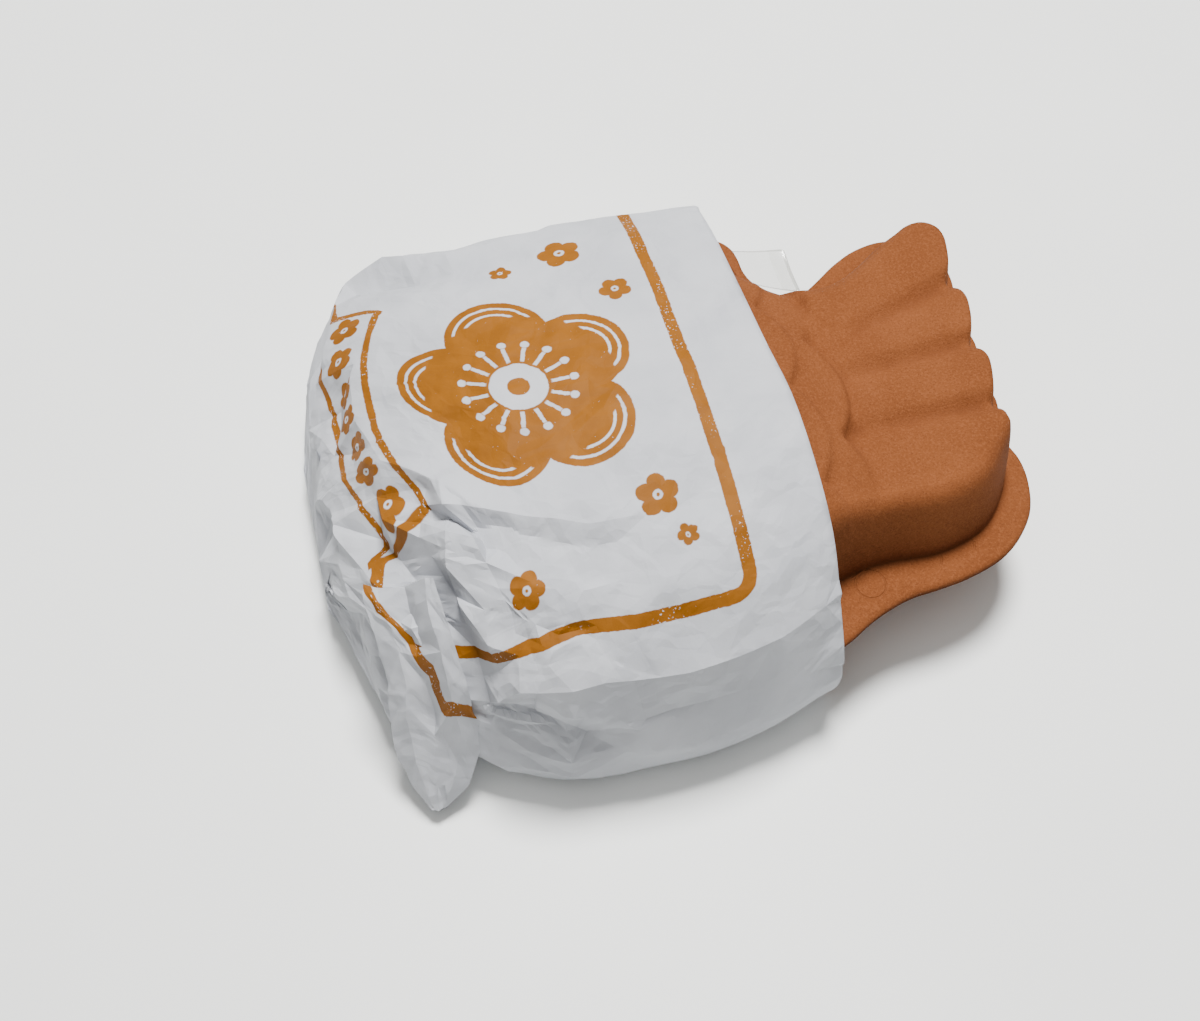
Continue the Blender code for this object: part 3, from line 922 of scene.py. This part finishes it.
PAPER_SHADES = ((0.435, 0.448, 0.482), (0.495, 0.508, 0.542))
INK_SHADES = ((0.2, 0.069, 0.004), (0.235, 0.083, 0.006))
FACETS = ((13.0, 0.4), (6.0, 1.3))  # size and turn
CLOUD_SIZE = 16.0
FIBRE_SIZE = 1.1
RAG_SIZE = 0.8
RAG = 0.35
DOT_SIZE = 0.5
WORN_SIZE = 7.0
DYE_SIZE = 5.0
PAPER_RELIEF = 0.4


def creased(paper, at, down, around):
    """Height of small flat facets with sharp creases between them, of two sizes."""
    total = 0.0
    for size, turn in FACETS:
        bend = paper.noise(at, size * 1.3, 1.0) * size
        cell = {
            "X": down * math.cos(turn) + around * math.sin(turn) + bend,
            "Y": around * math.cos(turn) - down * math.sin(turn) - bend,
        }
        cell = paper.node("ShaderNodeCombineXYZ", {}, cell)[0]
        inputs = {"Vector": cell, "Scale": 1 / size}
        facets = paper.node("ShaderNodeTexVoronoi", {"distance": "MANHATTAN"}, inputs)
        total = Value(paper, facets[0]) * (size / FACETS[0][0]) + total
    return total


def paper_finish():
    paper = Finish("printed_paper", Roughness=0.6, Specular_IOR_Level=0.12)
    at = paper.coordinates("UV")
    down, around, _ = paper.split(at)
    cloud = paper.noise(at, CLOUD_SIZE, 3.0)
    fibre = paper.noise(at, FIBRE_SIZE, 3.0, 0.65)

    # The ink's edge is a little ragged, and pale specks are left in it where it printed badly
    rag = (paper.noise(at, RAG_SIZE, 2.0) - 0.5) * RAG
    dots = paper.noise(at, DOT_SIZE, 2.0)
    wear = dots.ramp(0.34, 0.37) | paper.noise(at, WORN_SIZE, 1.0).ramp(0.58, 0.5)
    ink = print_ink(down + rag, around + rag, wear) * dots.ramp(0.23, 0.26)
    dye = paper.mix(paper.noise(at, DYE_SIZE, 3.0).ramp(0.3, 0.7), *INK_SHADES)
    white = paper.mix(cloud.ramp(0.3, 0.7), *PAPER_SHADES)
    paper.connect(Base_Color=paper.mix(ink, white, dye))
    facets = creased(paper, at, down, around)
    paper.relief(cloud * 0.8 + facets * 1.6 + fibre * 0.12, PAPER_RELIEF)
    return paper.material


def printed(flat):
    """Where the print's design has each point of the sheet: the gripped folds take paper up, and
    so does the turn under the ear."""
    s, u = flat.T
    taken = 11.0 * smooth((s - 49) / 25) * smooth((u - 168) / 28)
    under_ear = 5.0 * smooth((s - 74) / 8) * smooth((u - 183) / 7) * smooth((216 - u) / 8)
    return np.stack([s - under_ear, u - taken], axis=1)


paper = paper_finish()


BAG_LIFTS = (0.16, 0.07, 0.02)
BAG_SHARP = math.radians(13)
HELD_BY_CRUSH = 0.8
TOY_GAP = 0.82


def make_bag():
    flat, height, sharp, triangles = folded_net()
    spot, out = sheet.place(flat)
    columns = np.column_stack([flat, height, sharp.astype(float), spot + out * height[:, None]])
    draw = np.random.default_rng(5)
    for lift in BAG_LIFTS:
        triangles, columns = split_all(triangles, columns, lift, draw)

    # Between its folds the paper is flat where it is crushed, and half rounded over the toy
    flat = columns[:, :2]
    spot, out = sheet.place(flat)
    curved = spot + out * columns[:, 2:3]
    straight = columns[:, 4:7]
    crush = gripped(flat)[:, None]
    points = curved + (straight - curved) * (0.45 + 0.5 * crush)
    holding = np.maximum(np.clip(columns[:, 3], 0, 1) ** 2, HELD_BY_CRUSH * crush[:, 0])
    points = eased(points, triangles, holding)

    # The sheet's two long sides are glued along one line
    low = np.where(flat[:, 1] < 1e-6)[0]
    high = np.where(flat[:, 1] > sheet.width - 1e-6)[0]
    low = low[np.argsort(flat[low, 0])]
    high = high[np.argsort(flat[high, 0])]
    points[high] = points[low]
    points = clear_of_toy(points, TOY_GAP)

    design = printed(flat)
    mesh = bmesh.new()
    layer = mesh.loops.layers.uv.new("flat_paper")
    verts = [mesh.verts.new(point) for point in points]
    for corners in triangles:
        face = mesh.faces.new([verts[i] for i in corners])
        for loop, i in zip(face.loops, corners):
            loop[layer].uv = tuple(design[i] * MM)
    seam = [verts[i] for i in low] + [verts[i] for i in high]
    bmesh.ops.remove_doubles(mesh, verts=seam, dist=1e-4)
    shut = [edge for edge in mesh.edges if edge.is_boundary and edge.verts[0].co.x < END_X]
    bmesh.ops.holes_fill(mesh, edges=shut)
    bmesh.ops.recalc_face_normals(mesh, faces=mesh.faces)
    bag = to_object("crumpled_bag", mesh, paper)
    bag.data.set_sharp_from_angle(angle=BAG_SHARP)
    wall = bag.modifiers.new("paper", "SOLIDIFY")
    wall.thickness = PAPER * MM
    wall.offset = -1.0
    return bag


bag = make_bag()
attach(bag, "root")
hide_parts("paper_bag")

# The ear: the bag's empty near corner, pressed flat and folded over at the shut end. Each row
# goes from its left ridge by a hollow to a pleat, which overhangs the paper on its right, and
# has its place on the printed sheet.
EAR_ROWS = (
    ((-64, -21.5, 36), (-61.5, -22.5, 35), (-56.5, -24.5, 37), (-52.5, -27, 43.5), (-51, -28, 44.5)),
    ((-64.5, -25, 34), (-62, -26, 34.5), (-56.5, -29, 35.5), (-53, -31, 42.5), (-50.5, -32.5, 42.5)),
    ((-64, -29, 30.5), (-60.5, -30.5, 33.5), (-56.5, -33, 33.5), (-53, -35.5, 40), (-50, -37, 39)),
    ((-64, -32.5, 27.5), (-60, -34.5, 31), (-57, -36.5, 31.5), (-52.5, -39, 36.5), (-49.5, -40.5, 34.5)),
    ((-63.5, -37, 23), (-60, -39, 27), (-56.5, -40, 27), (-52.5, -43, 32), (-49, -44, 30)),
    ((-64.5, -40, 19), (-61, -42, 23), (-56, -44, 20.5), (-52.5, -46, 26.5), (-49, -46.5, 23.5)),
    ((-65, -43, 14), (-61.5, -45, 18.5), (-57, -47, 18), (-52, -48.5, 20.5), (-47, -48, 16)),
    ((-65, -47, 10), (-61.5, -48.5, 14), (-57.5, -50, 13.5), (-53.5, -51, 14.5), (-50, -51, 11)),
    ((-63.5, -51, 6), (-61, -52.5, 9.5), (-58.5, -53.5, 9), (-55.5, -54, 9.5), (-52.5, -54, 6.5)),
    ((-60.5, -56, 3.5), (-60, -56.5, 4), (-59.5, -57, 4), (-58.5, -56.5, 4), (-58, -56.5, 3.5)),
)
EAR_DOWN = (
    (84.5, 81, 79, 78, 76), (88, 83, 80, 78, 76), (92, 86.5, 81.5, 78, 76), (94, 89.5, 84, 79, 75),
    (95, 92, 87, 80, 75), (96, 93, 88, 79, 74), (96, 93, 88, 80, 74), (96, 92, 88, 82, 77),
    (94, 91, 87, 84, 80), (89, 88, 87, 86, 85),
)
EAR_ROUND = (181, 184, 187, 190.5, 194, 197.5, 203, 209, 215, 220)
EAR_DEPTHS = (7.0, 6.5, 6.0, 5.5, 5.0, 4.0, 3.5, 2.5, 1.5, 0.6)
EAR_LIFTS = (0.15, 0.06, 0.02)
EAR_SHARP = math.radians(15)
EAR_FACES = Vector((0, -0.35, 0.94))


def make_ear():
    columns = []
    triangles = []
    last = len(EAR_ROWS[0]) - 1
    for i, (row, down, around, depth) in enumerate(zip(EAR_ROWS, EAR_DOWN, EAR_ROUND, EAR_DEPTHS)):
        for j, (point, s) in enumerate(zip(row, down)):
            opened = 0.0 if j in (0, last) else depth * math.sin(math.pi * j / last) ** 0.5
            columns.append((s, around, 0.0, 0.25, *point, opened))
            if i > 0 and j > 0:
                c = len(columns) - 1
                b = c - 1
                a, d = (k - len(row) for k in (b, c))
                triangles += [(a, b, d), (b, c, d)] if (i + j) % 2 else [(a, b, c), (a, c, d)]
    columns = np.array(columns, float)
    triangles = np.array(triangles)
    draw = np.random.default_rng(3)
    for lift in EAR_LIFTS:
        triangles, columns = split_all(triangles, columns, lift, draw)
    points = eased(columns[:, 4:7], triangles, np.full(len(columns), 0.5))

    # The back layer lies under the front, further off where the pocket is open, and above the table
    columns[:, 7] = np.minimum(columns[:, 7], np.maximum(points[:, 2] - 0.5, 0.0))
    mesh = bmesh.new()
    layer = mesh.loops.layers.uv.new("flat_paper")
    front = [mesh.verts.new(point) for point in points]
    back = [
        vert if opened < 1e-6 else mesh.verts.new(vert.co - EAR_FACES * opened)
        for vert, opened in zip(front, columns[:, 7])
    ]
    for verts, order in ((front, 1), (back, -1)):
        for corners in triangles:
            face = mesh.faces.new([verts[i] for i in corners[::order]])
            for loop, i in zip(face.loops, corners[::order]):
                loop[layer].uv = tuple(columns[i, :2] * MM)
    bmesh.ops.holes_fill(mesh, edges=[edge for edge in mesh.edges if edge.is_boundary])
    bmesh.ops.recalc_face_normals(mesh, faces=mesh.faces)
    return to_object("bag_ear", mesh, paper)


ear = make_ear()
ear.data.set_sharp_from_angle(angle=EAR_SHARP)
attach(ear, "root")
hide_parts("paper_bag")

# The film: a narrow strip of clear plastic that lies loose in the bag and comes out beside the
# toy's neck. It curls a little across, and is made paler near its end, where the strip is folded over.
FILM = 0.12
FILM_ACROSS = 8
FILM_CURL = 0.7
FILM_SINK = 0.6
FILM_COLOUR = (0.5, 0.51, 0.48, 1.0)
FILM_STATIONS = (  # along, near edge, far edge, height
    (16, 50.5, 57, 13.2), (24, 49.5, 57, 13.6), (31, 46.5, 55.6, 14.2), (37, 42, 53, 15),
    (42.4, 39, 51.6, 15.9), (43.4, 38.6, 51.2, 16.0),
)


def film_finish():
    film = Finish("clear_film", Roughness=0.1, Specular_IOR_Level=0.6, Base_Color=FILM_COLOUR)
    along, across, _ = film.split(film.coordinates("UV"))
    edge = (abs(across - 0.5) * 2.0).ramp(0.93, 0.97) | along.ramp(0.97, 0.98)
    film.connect(Alpha=edge * 0.35 + along.ramp(0.86, 0.88) * 0.1 + 0.16)
    return film.material


def make_film():
    mesh = bmesh.new()
    layer = mesh.loops.layers.uv.new("strip")
    start = FILM_STATIONS[0][0]
    end = FILM_STATIONS[-1][0]
    rows = []
    for x, near, far, z in FILM_STATIONS:
        row = []
        for k in range(FILM_ACROSS + 1):
            share = k / FILM_ACROSS
            curl = FILM_CURL * (2 * share - 1) ** 2
            row.append(mesh.verts.new((x, near + (far - near) * share, z - FILM_SINK + curl)))
        rows.append(row)
    for row, following in zip(rows, rows[1:]):
        for k in range(FILM_ACROSS):
            face = mesh.faces.new((row[k], following[k], following[k + 1], row[k + 1]))
            for loop in face.loops:
                along = (loop.vert.co.x - start) / (end - start)
                across = (k + (loop.vert in (row[k + 1], following[k + 1]))) / FILM_ACROSS
                loop[layer].uv = (along * MM, across * MM)
    bmesh.ops.recalc_face_normals(mesh, faces=mesh.faces)
    film = to_object("curled_film", mesh, film_finish())
    smoother = film.modifiers.new("smoother", "SUBSURF")
    smoother.levels = 2
    smoother.render_levels = 2
    wall = film.modifiers.new("film", "SOLIDIFY")
    wall.thickness = FILM * MM
    return film


film = make_film()
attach(film, "root")
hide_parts("clear_film")

# The white table, with a strong light above the far side, a weak broad one above the near side and
# the camera, all in metres
TABLE_HALF = 3.0
TABLE_SHADES = ((0.87, 0.885, 0.875), (0.89, 0.905, 0.895))
TABLE_CLOUD = 60.0
LIGHT_COLOUR = (1.0, 0.99, 0.97)
LIGHTS_FACE = Vector((0, 0, 0.02))
ROOM_COLOUR = (1.0, 0.985, 0.96, 1.0)
ROOM_STRENGTH = 0.1
CAMERA_TARGET = Vector((-0.0161, -0.00905, 0.020))
CAMERA_AWAY = 0.30612
CAMERA_TURN = math.radians(14)
CAMERA_DOWN = math.radians(60)


def make_table():
    mesh = bmesh.new()
    bmesh.ops.create_grid(mesh, x_segments=8, y_segments=8, size=TABLE_HALF)
    data = bpy.data.meshes.new("table")
    mesh.to_mesh(data)
    mesh.free()
    top = Finish("white_table", Roughness=0.45, Specular_IOR_Level=0.3)
    cloud = top.noise(top.coordinates("Object"), TABLE_CLOUD)
    top.connect(Base_Color=top.mix(cloud.ramp(0.3, 0.7), *TABLE_SHADES))
    data.materials.append(top.material)
    return new_object("table", data)


def make_light(name, place, size, power):
    light = bpy.data.lights.new(name, "AREA")
    light.shape = "DISK"
    light.size = size
    light.energy = power
    light.color = LIGHT_COLOUR
    lamp = new_object(name, light)
    lamp.location = place
    lamp.rotation_euler = (LIGHTS_FACE - Vector(place)).to_track_quat("-Z", "Y").to_euler()


def make_camera():
    forward = Vector((
        math.sin(CAMERA_TURN) * math.cos(CAMERA_DOWN),
        math.cos(CAMERA_TURN) * math.cos(CAMERA_DOWN),
        -math.sin(CAMERA_DOWN),
    ))
    data = bpy.data.cameras.new("camera")
    data.lens = 45.0
    data.sensor_width = 36.0
    data.clip_start = 0.01
    camera = new_object("camera", data)
    camera.location = CAMERA_TARGET - forward * CAMERA_AWAY
    camera.rotation_euler = forward.to_track_quat("-Z", "Y").to_euler()
    bpy.context.scene.camera = camera


make_table()
make_light("ceiling", place=(0.12, 0.3, 1.06), size=0.32, power=28.5)
make_light("room", place=(-0.1, -0.2, 0.9), size=1.2, power=4.5)
make_camera()
world = bpy.data.worlds.new("room")
world.use_nodes = True
world.node_tree.nodes["Background"].inputs["Color"].default_value = ROOM_COLOUR
world.node_tree.nodes["Background"].inputs["Strength"].default_value = ROOM_STRENGTH
bpy.context.scene.world = world


def corners(box):
    return [[round(float(number), 5) for number in corner] for corner in box]
